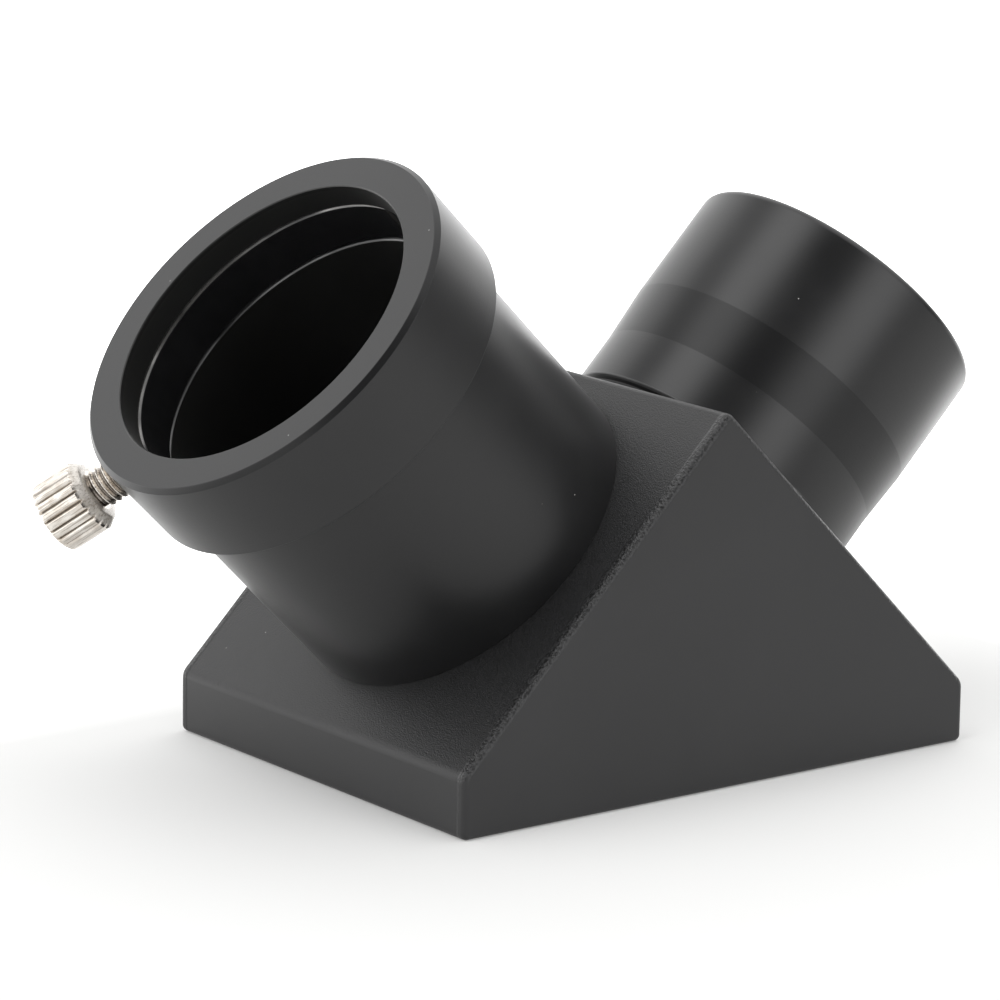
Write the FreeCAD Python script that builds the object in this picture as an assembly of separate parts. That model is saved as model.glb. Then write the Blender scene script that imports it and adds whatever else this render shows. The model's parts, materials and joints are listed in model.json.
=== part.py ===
import FreeCAD, Part
import math
import os

# 90 degree star diagonal for 1.25 inch (31.75 mm) telescope fittings, in millimetres.
# +Z is up, the origin is the centre of the base. The body is a five-sided prism that lies
# along Y. The eyepiece holder stands on its -X slope and the nosepiece on its +X slope, both
# square to the slope, so their axes meet at a right angle on the flat mirror inside.

# ---------------------------------------------------------------- driving dimensions
# Body
wall_height = 6.0          # upright end walls below the slopes
side_wall = 3.6
end_wall = 3.2
slope_wall = 4.0
ridge_land = 3.0           # slope left between the larger port and the ridge
foot_land = 5.06           # slope left between the larger tube and the end wall
side_land = 2.0            # slope left beside the eyepiece holder, at least
side_room = 0.6            # mirror clips to the inside of the side walls
base_round = 0.62          # rounded edges where the end walls meet the base
shoulder_round = 1.5       # rounded edges where the end walls meet the slopes
ridge_round = 0.65
side_round = 0.6           # rounded edges all round both side faces

# Eyepiece holder
eyepiece_bore_r = 15.9     # takes a 31.75 mm barrel
barrel_wall = 2.05
holder_height = 32.5       # slope to rim
collar_height = 9.6
collar_step = 1.8          # collar radius beyond the barrel radius
collar_bevel = 0.46
collar_foot_bevel = 0.2
bore_bevel = 0.1
stop_height = 2.5          # top of the internal stop lip above the slope
stop_step = 1.9            # how far the stop lip stands into the bore
holder_thread_step = 0.95  # barrel radius less spigot thread radius
spigot_length = 3.5        # threaded spigots of both tubes

# Clamp ring and its groove
groove_depth_from_rim = 2.9
groove_height = 5.05
groove_depth = 1.3
groove_lip_bevel = 0.15
ring_thickness = 1.0
ring_recess = 0.02         # ring inner wall behind the bore wall
ring_side_play = 0.08
ring_edge_bevel = 0.2
ring_gap = 1.2
ring_gap_angle = 356.0     # about the holder axis, from the ridge side towards +Y

# Thumbscrew, M4 x 0.7
screw_r = 2.0
screw_depth_from_rim = 5.95
screw_angle = 144.0        # about the holder axis, from the ridge side towards +Y
screw_head_r = 3.58
screw_head_length = 5.2
screw_head_bevel = 1.0
screw_head_round = 0.35
screw_head_standoff = 3.25  # collar to head, screw backed off as at rest
knurl_count = 21
knurl_depth = 0.26
tip_clear_of_ring = 0.5    # pressure tip to clamp ring at rest
tip_r = 1.3
tip_head = 0.5
tip_bevel = 0.3
tip_stem_r = 0.8
tip_stem = 1.7

# Nosepiece
nose_r = 15.85             # slides into a 31.75 mm focuser
nose_wall = 2.45
nose_height = 26.3         # slope to open end
nose_end_round = 0.8
nose_foot_step = 0.32      # barrel radius less foot radius
taper_low = 8.3            # safety taper from foot to barrel, above the slope
taper_high = 14.0
nose_neck_height = 2.5     # slope to the foot's bevel
nose_neck_step = 0.4       # foot radius less neck radius
nose_thread_step = 0.13    # neck radius less spigot thread radius
filter_thread_r = 13.93    # minor radius of the M28.5 x 0.6 filter thread
filter_thread_length = 5.5
filter_entry_bevel = 0.4

# Mirror stack
mirror_thickness = 4.0
mirror_end_margin = 1.55   # mirror beyond the light path, lengthwise
mirror_side_margin = 2.1
mirror_bevel = 0.3
mirror_roof_gap = 1.0
pad_r = 3.0
pad_thickness = 0.8
pad_spread_x = 14.0
pad_spread_y = 8.0
carrier_lip = 0.75
carrier_lip_height = 2.3
carrier_corner_r = 1.0
carrier_side_gap = 0.5     # carrier to the inside of the side walls
clip_strip = 0.4           # spring steel strip thickness
clip_hook = 1.1            # reach over the mirror's face
clip_head_gap = 0.1        # screw head to the upright strip
clip_foot_edge = 1.35      # foot beyond the screw's centre
clip_length = 24.0
clip_screw_spread = 16.0   # between the two screws of one clip

# Base cover and small screws
cover_thickness = 2.0
cover_rim = 1.65           # body wall left round the cover
cover_corner_r = 3.0
cover_screw_inset = 4.1    # screw centre from the cover recess's edges
cover_screw_r = 1.25       # M2.5 countersunk
cover_screw_head_r = 2.35
cover_screw_length = 6.5
post_reach = 2.9           # corner post beyond its screw's centre
cover_drive_r = 0.87       # hexagon sockets, across corners
cover_drive_depth = 0.8
clip_screw_r = 0.8         # M1.6 cheese head
clip_screw_head_r = 1.5
clip_screw_head = 1.0
clip_screw_end_gap = 0.6   # cover metal left under the clip screws' tips
clip_drive_r = 0.52
clip_drive_depth = 0.6

# Fits
thread_clearance = 0.05    # radial, every threaded joint
running_clearance = 0.05   # radial and axial, swivelling tip in the thumbscrew
cover_clearance = 0.15     # cover to its recess, all round
mirror_clearance = 0.15    # mirror to carrier lips and clips
through_clearance = 0.2    # radial, screws through plates
part_clearance = 0.3       # carrier to the body's corner posts

# ---------------------------------------------------------------- derived dimensions
ROOT2 = math.sqrt(2.0)
barrel_r = eyepiece_bore_r + barrel_wall
collar_r = barrel_r + collar_step
holder_thread_r = barrel_r - holder_thread_step
groove_r = eyepiece_bore_r + groove_depth
ring_inner_r = eyepiece_bore_r + ring_recess
ring_outer_r = ring_inner_r + ring_thickness
nose_foot_r = nose_r - nose_foot_step
nose_neck_r = nose_foot_r - nose_neck_step
nose_thread_r = nose_neck_r - nose_thread_step
nose_bore_r = nose_r - nose_wall

mirror_half_length = nose_bore_r * ROOT2 + mirror_end_margin
mirror_half_width = nose_bore_r + mirror_side_margin

carrier_half_x = mirror_half_length + mirror_clearance + carrier_lip
clip_y = mirror_half_width + mirror_clearance        # inner face of the upright strip
clip_screw_y = clip_y + clip_strip + clip_head_gap + clip_screw_head_r
clip_foot_y = clip_screw_y + clip_foot_edge

# The body is as long and as wide as its tubes and the mirror stack inside it need.
axis_from_ridge = max(holder_thread_r + ridge_land, nose_thread_r + ridge_land,
                      (mirror_half_length + mirror_roof_gap) / ROOT2 + slope_wall)
half_length = max((axis_from_ridge + max(barrel_r, nose_r) + foot_land) / ROOT2,
                  carrier_half_x + part_clearance + post_reach + cover_screw_inset + cover_rim)
half_width = max(clip_foot_y + side_room + side_wall, barrel_r + side_land)
ridge_height = wall_height + half_length
foot_x = axis_from_ridge / ROOT2
foot_z = ridge_height - foot_x
mirror_face_z = foot_z - foot_x        # where the two tube axes cross

recess_half_x = half_length - cover_rim
recess_half_y = half_width - cover_rim
cavity_half_x = half_length - end_wall
cavity_half_y = half_width - side_wall
cavity_ridge_z = ridge_height - slope_wall * ROOT2
cover_screw_x = recess_half_x - cover_screw_inset
cover_screw_y = recess_half_y - cover_screw_inset
post_x = cover_screw_x - post_reach
post_y = cover_screw_y - post_reach

mirror_back_z = mirror_face_z - mirror_thickness
carrier_top_z = mirror_back_z - pad_thickness
carrier_half_y = cavity_half_y - carrier_side_gap


# ---------------------------------------------------------------- helpers
def vec(x, y, z):
    return FreeCAD.Vector(x, y, z)


def block(x0, x1, y0, y1, z0, z1):
    return Part.makeBox(x1 - x0, y1 - y0, z1 - z0, vec(x0, y0, z0))


def rod(radius, z0, z1, x=0.0, y=0.0):
    return Part.makeCylinder(radius, z1 - z0, vec(x, y, z0))


def cone(r0, r1, z0, z1, x=0.0, y=0.0):
    return Part.makeCone(r0, r1, z1 - z0, vec(x, y, z0))


def turned(profile):
    """Solid turned about +Z from (radius, height) points."""
    points = [vec(radius, 0, height) for radius, height in profile]
    wire = Part.makePolygon(points + points[:1])
    return Part.Face(wire).revolve(vec(0, 0, 0), vec(0, 0, 1), 360)


def rounded_wire(points, radii):
    """Closed outline through the points, each corner rounded to its radius."""
    edges = []
    starts = []
    ends = []
    mids = []
    for i, corner in enumerate(points):
        to_prev = (points[i - 1] - corner).normalize()
        to_next = (points[(i + 1) % len(points)] - corner).normalize()
        half_angle = to_prev.getAngle(to_next) / 2
        inward = (to_prev + to_next).normalize()
        reach = radii[i] / math.tan(half_angle)
        starts.append(corner + to_prev * reach)
        ends.append(corner + to_next * reach)
        mids.append(corner + inward * (radii[i] / math.sin(half_angle) - radii[i]))
    for i in range(len(points)):
        following = (i + 1) % len(points)
        edges.append(Part.Arc(starts[i], mids[i], ends[i]).toShape())
        edges.append(Part.LineSegment(ends[i], starts[following]).toShape())
    return Part.Wire(Part.__sortEdges__(edges))


def rounded_plate(half_x, half_y, corner_r, z0, z1):
    corners = [vec(half_x, half_y, z0), vec(-half_x, half_y, z0),
               vec(-half_x, -half_y, z0), vec(half_x, -half_y, z0)]
    outline = rounded_wire(corners, [corner_r] * len(corners))
    return Part.Face(outline).extrude(vec(0, 0, z1 - z0))


def on_slope(shape, side):
    """Move a solid built about +Z, foot at z = 0, onto the -X or +X slope."""
    turn = FreeCAD.Rotation(vec(0, 1, 0), 45 * side)
    shape.Placement = FreeCAD.Placement(vec(side * foot_x, 0, foot_z), turn).multiply(shape.Placement)
    return shape


def on_screw_axis(shape):
    """Move a solid built along +Z, z as distance from the holder axis, onto the clamp screw's axis."""
    lay_down = FreeCAD.Rotation(vec(0, 1, 0), 90)
    swing = FreeCAD.Rotation(vec(0, 0, 1), screw_angle)
    height = holder_height - screw_depth_from_rim
    shape.Placement = FreeCAD.Placement(vec(0, 0, height), swing.multiply(lay_down)).multiply(shape.Placement)
    return shape


def four_corners(x, y):
    return [(sx * x, sy * y) for sx in (-1, 1) for sy in (-1, 1)]


def hexagon_socket(across_corners_r, z0, z1, x, y):
    points = [vec(x + across_corners_r * math.cos(math.radians(60 * i)),
                  y + across_corners_r * math.sin(math.radians(60 * i)), z0) for i in range(7)]
    return Part.Face(Part.makePolygon(points)).extrude(vec(0, 0, z1 - z0))


# ---------------------------------------------------------------- body
def five_sided_prism(half_x, wall_z, ridge_z, half_y, z0=0.0):
    points = [vec(-half_x, -half_y, z0), vec(half_x, -half_y, z0), vec(half_x, -half_y, wall_z),
              vec(0, -half_y, ridge_z), vec(-half_x, -half_y, wall_z)]
    return Part.Face(Part.makePolygon(points + points[:1])).extrude(vec(0, 2 * half_y, 0))


def make_housing():
    corners = [vec(-half_length, -half_width, 0), vec(half_length, -half_width, 0),
               vec(half_length, -half_width, wall_height), vec(0, -half_width, ridge_height),
               vec(-half_length, -half_width, wall_height)]
    radii = [base_round, base_round, shoulder_round, ridge_round, shoulder_round]
    solid = Part.Face(rounded_wire(corners, radii)).extrude(vec(0, 2 * half_width, 0))
    outline_edges = [edge for edge in solid.Edges
                     if edge.BoundBox.YLength < side_round / 10]
    solid = solid.makeFillet(side_round, outline_edges)

    cavity = five_sided_prism(cavity_half_x, cavity_ridge_z - cavity_half_x, cavity_ridge_z, cavity_half_y)
    for x, y in four_corners(1, 1):
        xs = sorted((x * post_x, x * half_length))
        ys = sorted((y * post_y, y * half_width))
        cavity = cavity.cut(block(xs[0], xs[1], ys[0], ys[1], 0, ridge_height))
    solid = solid.cut(cavity)
    solid = solid.cut(rounded_plate(recess_half_x, recess_half_y, cover_corner_r, -1, cover_thickness))
    for x, y in four_corners(cover_screw_x, cover_screw_y):
        solid = solid.cut(rod(cover_screw_r + thread_clearance, 0, cover_screw_length + 1, x, y))
    port_depth = spigot_length + slope_wall
    solid = solid.cut(on_slope(rod(holder_thread_r + thread_clearance, -port_depth, 1), -1))
    solid = solid.cut(on_slope(rod(nose_thread_r + thread_clearance, -port_depth, 1), 1))
    return solid


# ---------------------------------------------------------------- base cover and its screws
def make_base_cover():
    half_x = recess_half_x - cover_clearance
    half_y = recess_half_y - cover_clearance
    plate = rounded_plate(half_x, half_y, cover_corner_r - cover_clearance, 0, cover_thickness)
    head_depth = cover_screw_head_r - cover_screw_r
    for x, y in four_corners(cover_screw_x, cover_screw_y):
        plate = plate.cut(rod(cover_screw_r + through_clearance, 0, cover_thickness, x, y))
        plate = plate.cut(cone(cover_screw_head_r, cover_screw_r, 0, head_depth, x, y))
    for x, y in four_corners(clip_screw_spread / 2, clip_screw_y):
        plate = plate.cut(rod(clip_screw_r + thread_clearance, clip_screw_end_gap - thread_clearance,
                              cover_thickness, x, y))
    return plate


def make_cover_screws():
    head_depth = cover_screw_head_r - cover_screw_r
    screws = []
    for x, y in four_corners(cover_screw_x, cover_screw_y):
        screw = cone(cover_screw_head_r, cover_screw_r, 0, head_depth, x, y)
        screw = screw.fuse(rod(cover_screw_r, head_depth, cover_screw_length, x, y))
        screw = screw.cut(hexagon_socket(cover_drive_r, 0, cover_drive_depth, x, y))
        screws.append(screw.removeSplitter())
    return Part.makeCompound(screws)


# ---------------------------------------------------------------- mirror stack
def make_mirror_carrier():
    plate = rounded_plate(carrier_half_x, carrier_half_y, carrier_corner_r, cover_thickness, carrier_top_z)
    lip_inner = mirror_half_length + mirror_clearance
    for side in (-1, 1):
        xs = sorted((side * lip_inner, side * carrier_half_x))
        lip = block(xs[0], xs[1], -mirror_half_width / 2, mirror_half_width / 2,
                    carrier_top_z, carrier_top_z + carrier_lip_height)
        plate = plate.fuse(lip)
    for x, y in four_corners(1, 1):
        xs = sorted((x * (post_x - part_clearance), x * half_length))
        ys = sorted((y * (post_y - part_clearance), y * half_width))
        plate = plate.cut(block(xs[0], xs[1], ys[0], ys[1], 0, ridge_height))
    for x, y in four_corners(clip_screw_spread / 2, clip_screw_y):
        plate = plate.cut(rod(clip_screw_r + through_clearance, 0, carrier_top_z, x, y))
    return plate.removeSplitter()


def make_mirror():
    glass = block(-mirror_half_length, mirror_half_length, -mirror_half_width, mirror_half_width,
                  mirror_back_z, mirror_face_z)
    return glass.makeChamfer(mirror_bevel, glass.Edges)


def make_pad(x, y):
    return rod(pad_r, carrier_top_z, mirror_back_z, x, y)


def make_clip(side):
    """Spring strip: foot on the carrier, upright beside the mirror, hook over its face."""
    top = mirror_face_z + clip_strip
    outer = clip_y + clip_strip
    outline = [(clip_foot_y, carrier_top_z), (clip_foot_y, carrier_top_z + clip_strip),
               (outer, carrier_top_z + clip_strip), (outer, top),
               (mirror_half_width - clip_hook, top), (mirror_half_width - clip_hook, mirror_face_z),
               (clip_y, mirror_face_z), (clip_y, carrier_top_z)]
    points = [vec(-clip_length / 2, side * y, z) for y, z in outline]
    strip = Part.Face(Part.makePolygon(points + points[:1])).extrude(vec(clip_length, 0, 0))
    for x in (-clip_screw_spread / 2, clip_screw_spread / 2):
        strip = strip.cut(rod(clip_screw_r + through_clearance, 0, mirror_face_z, x, side * clip_screw_y))
    return strip


def make_clip_screws():
    seat = carrier_top_z + clip_strip
    screws = []
    for x, y in four_corners(clip_screw_spread / 2, clip_screw_y):
        screw = rod(clip_screw_r, clip_screw_end_gap, seat, x, y)
        head = rod(clip_screw_head_r, seat, seat + clip_screw_head, x, y)
        head = head.cut(hexagon_socket(clip_drive_r, seat + clip_screw_head - clip_drive_depth,
                                       seat + clip_screw_head, x, y))
        screws.append(screw.fuse(head).removeSplitter())
    return Part.makeCompound(screws)


# ---------------------------------------------------------------- eyepiece holder and clamp
def make_eyepiece_holder():
    groove_top = holder_height - groove_depth_from_rim
    groove_foot = groove_top - groove_height
    collar_foot = holder_height - collar_height
    lip_r = eyepiece_bore_r - stop_step
    profile = [
        (lip_r, -spigot_length), (holder_thread_r, -spigot_length), (holder_thread_r, 0), (barrel_r, 0),
        (barrel_r, collar_foot), (collar_r - collar_foot_bevel, collar_foot),
        (collar_r, collar_foot + collar_foot_bevel), (collar_r, holder_height - collar_bevel),
        (collar_r - collar_bevel, holder_height), (eyepiece_bore_r + bore_bevel, holder_height),
        (eyepiece_bore_r, holder_height - bore_bevel), (eyepiece_bore_r, groove_top + groove_lip_bevel),
        (eyepiece_bore_r + groove_lip_bevel, groove_top), (groove_r, groove_top), (groove_r, groove_foot),
        (eyepiece_bore_r + groove_lip_bevel, groove_foot), (eyepiece_bore_r, groove_foot - groove_lip_bevel),
        (eyepiece_bore_r, stop_height), (lip_r, stop_height)]
    solid = turned(profile)
    solid = solid.cut(on_screw_axis(rod(screw_r + thread_clearance, eyepiece_bore_r, collar_r + 1)))
    return on_slope(solid, -1)


def make_clamp_ring():
    top = holder_height - groove_depth_from_rim - ring_side_play
    foot = top - groove_height + 2 * ring_side_play
    profile = [(ring_inner_r + ring_edge_bevel, foot), (ring_outer_r, foot), (ring_outer_r, top),
               (ring_inner_r + ring_edge_bevel, top), (ring_inner_r, top - ring_edge_bevel),
               (ring_inner_r, foot + ring_edge_bevel)]
    ring = turned(profile)
    slot = block(0, collar_r, -ring_gap / 2, ring_gap / 2, 0, holder_height)
    slot.Placement = FreeCAD.Placement(vec(0, 0, 0), FreeCAD.Rotation(vec(0, 0, 1), ring_gap_angle))
    return on_slope(ring.cut(slot), -1)


def make_thumbscrew():
    stud_end = ring_outer_r + tip_clear_of_ring + tip_head + running_clearance
    head_foot = collar_r + screw_head_standoff
    head_top = head_foot + screw_head_length
    hole_r = tip_stem_r + running_clearance
    hole_end = stud_end + tip_stem
    profile = [
        (0, hole_end), (hole_r, hole_end), (hole_r, stud_end), (screw_r, stud_end), (screw_r, head_foot),
        (screw_head_r - screw_head_bevel, head_foot), (screw_head_r, head_foot + screw_head_bevel),
        (screw_head_r, head_top - screw_head_round), (screw_head_r - screw_head_round, head_top),
        (0, head_top)]
    screw = turned(profile)
    groove = Part.makePolygon([vec(screw_head_r - knurl_depth, 0, 0), vec(screw_head_r + 1, 1 + knurl_depth, 0),
                               vec(screw_head_r + 1, -1 - knurl_depth, 0), vec(screw_head_r - knurl_depth, 0, 0)])
    cutter = Part.Face(groove).extrude(vec(0, 0, screw_head_length + 2))
    cutters = []
    for i in range(knurl_count):
        one = cutter.copy()
        turn = FreeCAD.Rotation(vec(0, 0, 1), 360.0 * i / knurl_count)
        one.Placement = FreeCAD.Placement(vec(0, 0, head_foot - 1), turn)
        cutters.append(one)
    return on_slope(on_screw_axis(screw.cut(cutters)), -1)


def make_thumbscrew_tip():
    face = ring_outer_r + tip_clear_of_ring
    profile = [(0, face), (tip_r - tip_bevel, face), (tip_r, face + tip_bevel), (tip_r, face + tip_head),
               (tip_stem_r, face + tip_head), (tip_stem_r, face + tip_head + tip_stem - running_clearance),
               (0, face + tip_head + tip_stem - running_clearance)]
    return on_slope(on_screw_axis(turned(profile)), -1)


# ---------------------------------------------------------------- nosepiece
def make_nosepiece():
    filter_foot = nose_height - filter_thread_length
    profile = [
        (nose_bore_r, -spigot_length), (nose_thread_r, -spigot_length), (nose_thread_r, 0), (nose_neck_r, 0),
        (nose_neck_r, nose_neck_height), (nose_foot_r, nose_neck_height + nose_neck_step),
        (nose_foot_r, taper_low), (nose_r, taper_high), (nose_r, nose_height),
        (filter_thread_r + filter_entry_bevel, nose_height), (filter_thread_r, nose_height - filter_entry_bevel),
        (filter_thread_r, filter_foot), (nose_bore_r, filter_foot)]
    solid = turned(profile)
    rim = [edge for edge in solid.Edges if edge.BoundBox.ZMin > nose_height - side_round
           and edge.BoundBox.ZLength < side_round and edge.BoundBox.XMax > nose_r - side_round]
    return on_slope(solid.makeFillet(nose_end_round, rim), 1)


# ---------------------------------------------------------------- export
def make_all():
    parts = {
        "housing": make_housing(),
        "base_cover": make_base_cover(),
        "cover_screws": make_cover_screws(),
        "mirror_carrier": make_mirror_carrier(),
        "mirror": make_mirror(),
        "mirror_clip_left": make_clip(-1),
        "mirror_clip_right": make_clip(1),
        "clip_screws": make_clip_screws(),
        "eyepiece_holder": make_eyepiece_holder(),
        "clamp_ring": make_clamp_ring(),
        "thumbscrew": make_thumbscrew(),
        "thumbscrew_tip": make_thumbscrew_tip(),
        "nosepiece": make_nosepiece(),
    }
    pad_places = [(pad_spread_x, 0), (-pad_spread_x, pad_spread_y), (-pad_spread_x, -pad_spread_y)]
    for number, (x, y) in enumerate(pad_places, 1):
        parts["mirror_pad_%d" % number] = make_pad(x, y)
    return parts


os.makedirs("parts", exist_ok=True)
for name, shape in make_all().items():
    bounds = shape.BoundBox
    print("%-18s solids %d valid %s volume %9.2f  x %.2f..%.2f y %.2f..%.2f z %.2f..%.2f" % (
        name, len(shape.Solids), shape.isValid(), shape.Volume, bounds.XMin, bounds.XMax,
        bounds.YMin, bounds.YMax, bounds.ZMin, bounds.ZMax))
    shape.exportStep("parts/%s.step" % name)
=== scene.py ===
# %% [markdown]
# # A 1.25 inch star diagonal
# A star diagonal is the right-angled elbow between a telescope and its eyepiece. Its nosepiece
# pushes into the telescope, a flat mirror inside the body turns the light through 90 degrees,
# and the eyepiece drops into the holder, where a small thumbscrew clamps it.
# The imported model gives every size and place. This file gives the parts their finish: black
# anodised tubes, a black stoved body with a pebbled skin, and a nickel-plated thumbscrew.

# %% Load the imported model
import json
import math

import bmesh
import bpy
from mathutils import Matrix, Vector


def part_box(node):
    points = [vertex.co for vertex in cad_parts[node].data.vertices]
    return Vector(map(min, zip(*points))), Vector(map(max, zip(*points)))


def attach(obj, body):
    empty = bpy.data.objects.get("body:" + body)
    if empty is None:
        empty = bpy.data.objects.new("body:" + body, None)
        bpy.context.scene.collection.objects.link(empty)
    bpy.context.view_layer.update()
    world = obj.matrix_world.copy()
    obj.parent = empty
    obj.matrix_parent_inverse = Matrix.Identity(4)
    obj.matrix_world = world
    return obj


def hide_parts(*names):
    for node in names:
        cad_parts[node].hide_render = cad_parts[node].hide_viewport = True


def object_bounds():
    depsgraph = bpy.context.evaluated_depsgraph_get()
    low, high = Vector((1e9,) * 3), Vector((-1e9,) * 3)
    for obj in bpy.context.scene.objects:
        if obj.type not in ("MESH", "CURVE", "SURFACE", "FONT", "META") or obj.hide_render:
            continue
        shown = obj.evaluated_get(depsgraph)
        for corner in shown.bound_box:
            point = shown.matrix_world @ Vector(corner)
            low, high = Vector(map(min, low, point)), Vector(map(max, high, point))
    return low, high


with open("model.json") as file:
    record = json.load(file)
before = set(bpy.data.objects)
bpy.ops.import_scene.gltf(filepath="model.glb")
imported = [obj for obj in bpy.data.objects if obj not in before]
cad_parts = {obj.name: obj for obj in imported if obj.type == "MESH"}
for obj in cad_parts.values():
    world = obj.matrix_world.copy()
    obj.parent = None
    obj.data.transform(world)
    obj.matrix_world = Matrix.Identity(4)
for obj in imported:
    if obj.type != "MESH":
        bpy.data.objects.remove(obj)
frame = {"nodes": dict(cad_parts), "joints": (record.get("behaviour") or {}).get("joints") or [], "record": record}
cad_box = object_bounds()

print("CAD box in mm:", [[round(c * 1000, 2) for c in corner] for corner in cad_box])

# %% [markdown]
# ## Where the tubes stand
# Both tubes are square to their slope of the body, and their axes cross in the middle of the
# mirror's face. Each tube is easiest to make standing upright at the origin, with its foot on
# z = 0, and then to tip into place. So this cell makes one matrix for each tube, which turns
# "millimetres above the foot" into a place on the real object.

# %% Frames of the holder, the nosepiece and the thumbscrew
MM = 0.001
SPIGOT_LENGTH = 3.5 * MM     # threaded end of each tube, inside the body wall


def mount(name):
    """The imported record's entry for one mount."""
    return next(m for m in frame["record"]["mounts"] if m["name"] == name)


def reach(node, origin, axis):
    """How far a CAD node runs along an axis, as (lowest, highest)."""
    spots = [(v.co - origin).dot(axis) for v in frame["nodes"][node].data.vertices]
    return min(spots), max(spots)


def upright_to(axis, across, origin):
    """Matrix that takes +Z to axis and +Y to across, with the origin moved to origin."""
    side = across.cross(axis)
    turn = Matrix((side, across, axis)).transposed()
    return Matrix.Translation(origin) @ turn.to_4x4()


crossing = Vector((0, 0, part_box("mirror")[1].z))
holder_axis = Vector(mount("eyepiece_bore")["axis"]).normalized()
nose_axis = Vector(mount("nosepiece_barrel")["axis"]).normalized()
ACROSS = Vector((0, 1, 0))

holder_low, holder_high = reach("eyepiece_holder", crossing, holder_axis)
nose_low, nose_high = reach("nosepiece", crossing, nose_axis)
holder_foot = crossing + holder_axis * (holder_low + SPIGOT_LENGTH)
nose_foot = crossing + nose_axis * (nose_low + SPIGOT_LENGTH)
holder_frame = upright_to(holder_axis, ACROSS, holder_foot)
nose_frame = upright_to(nose_axis, ACROSS, nose_foot)
HOLDER_HEIGHT = holder_high - holder_low - SPIGOT_LENGTH
NOSE_HEIGHT = nose_high - nose_low - SPIGOT_LENGTH

turn_joint = next(j for j in frame["joints"] if j["name"] == "screw_turn")
screw_axis = Vector(turn_joint["axis"]).normalized()
screw_spot = Vector(turn_joint["pos_m"])
screw_origin = screw_spot - screw_axis * (screw_spot - holder_foot).dot(screw_axis)
screw_frame = upright_to(screw_axis, holder_axis, screw_origin)
SCREW_HEIGHT = (screw_origin - holder_foot).length
print("holder %.2f mm tall, nosepiece %.2f mm, screw %.2f mm above the slope"
      % (HOLDER_HEIGHT / MM, NOSE_HEIGHT / MM, SCREW_HEIGHT / MM))

# %% [markdown]
# ## Camera
# A long lens nearly half a metre away keeps the round mouths of the tubes close to true
# ellipses. The camera looks a little down on the body from the eyepiece side. It leans by less
# than a degree, as a camera on a hand-set tripod head does.

# %% Camera
CAMERA_AIM = Vector((-9.148, 0.0, 24.798)) * MM
CAMERA_DISTANCE = 483.673 * MM
CAMERA_AZIMUTH = math.radians(-37.3489)
CAMERA_ELEVATION = math.radians(12.8391)
CAMERA_ROLL = math.radians(0.7894)

towards_camera = Vector((math.sin(CAMERA_AZIMUTH) * math.cos(CAMERA_ELEVATION),
                         -math.cos(CAMERA_AZIMUTH) * math.cos(CAMERA_ELEVATION),
                         math.sin(CAMERA_ELEVATION)))
camera_data = bpy.data.cameras.new("studio_camera")
camera_data.sensor_width = 36.0
camera_data.lens = 181.852
camera_data.clip_start = 0.01
camera = bpy.data.objects.new("studio_camera", camera_data)
bpy.context.scene.collection.objects.link(camera)
camera.rotation_mode = "QUATERNION"
look = (-towards_camera).to_track_quat("-Z", "Y")
roll = Matrix.Rotation(CAMERA_ROLL, 4, towards_camera).to_quaternion()
camera.rotation_quaternion = roll @ look
camera.location = CAMERA_AIM + towards_camera * CAMERA_DISTANCE
bpy.context.scene.camera = camera
print("camera at", [round(c / MM, 1) for c in camera.location], "mm")

# %% [markdown]
# ## Turning a tube
# The holder and the nosepiece are turned on a lathe, so the same idea makes their meshes: draw
# half of the section and spin it. A real turned edge is never perfectly sharp. The tool leaves
# a small break on it, and that break is what catches the light. So each corner of a section
# can carry a radius, and the corner is replaced by a short arc before the section is spun.

# %% Sections and lathe
SHARP_DEGREES = 32      # a sharper bend than this keeps its edge


def eased(section, steps=5):
    """Section points (r, z, corner radius) in mm, with each corner turned into an arc."""
    points = []
    for i, (r, z, ease) in enumerate(section):
        corner = Vector((r, z))
        if ease == 0:
            points.append(corner)
            continue
        before = (Vector(section[i - 1][:2]) - corner).normalized()
        after = (Vector(section[(i + 1) % len(section)][:2]) - corner).normalized()
        half = before.angle(after) / 2
        start = corner + before * ease / math.tan(half)
        centre = corner + (before + after).normalized() * ease / math.sin(half)
        swing = (start - centre).angle_signed(corner + after * ease / math.tan(half) - centre)
        for step in range(steps + 1):
            points.append(centre + Matrix.Rotation(-swing * step / steps, 2) @ (start - centre))
    return points


def finish_mesh(name, vertices, faces, place, sharp_degrees=SHARP_DEGREES):
    """Mesh object from local millimetres, put in place, smooth except at its sharp edges."""
    mesh = bpy.data.meshes.new(name)
    mesh.from_pydata([place @ (Vector(v) * MM) for v in vertices], [], faces)
    work = bmesh.new()
    work.from_mesh(mesh)
    bmesh.ops.remove_doubles(work, verts=work.verts, dist=1e-7)
    bmesh.ops.recalc_face_normals(work, faces=work.faces)
    work.to_mesh(mesh)
    work.free()
    mesh.shade_smooth()
    mesh.set_sharp_from_angle(angle=math.radians(sharp_degrees))
    piece = bpy.data.objects.new(name, mesh)
    bpy.context.scene.collection.objects.link(piece)
    weighted = piece.modifiers.new("even_shading", "WEIGHTED_NORMAL")
    weighted.keep_sharp = True
    return piece


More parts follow.
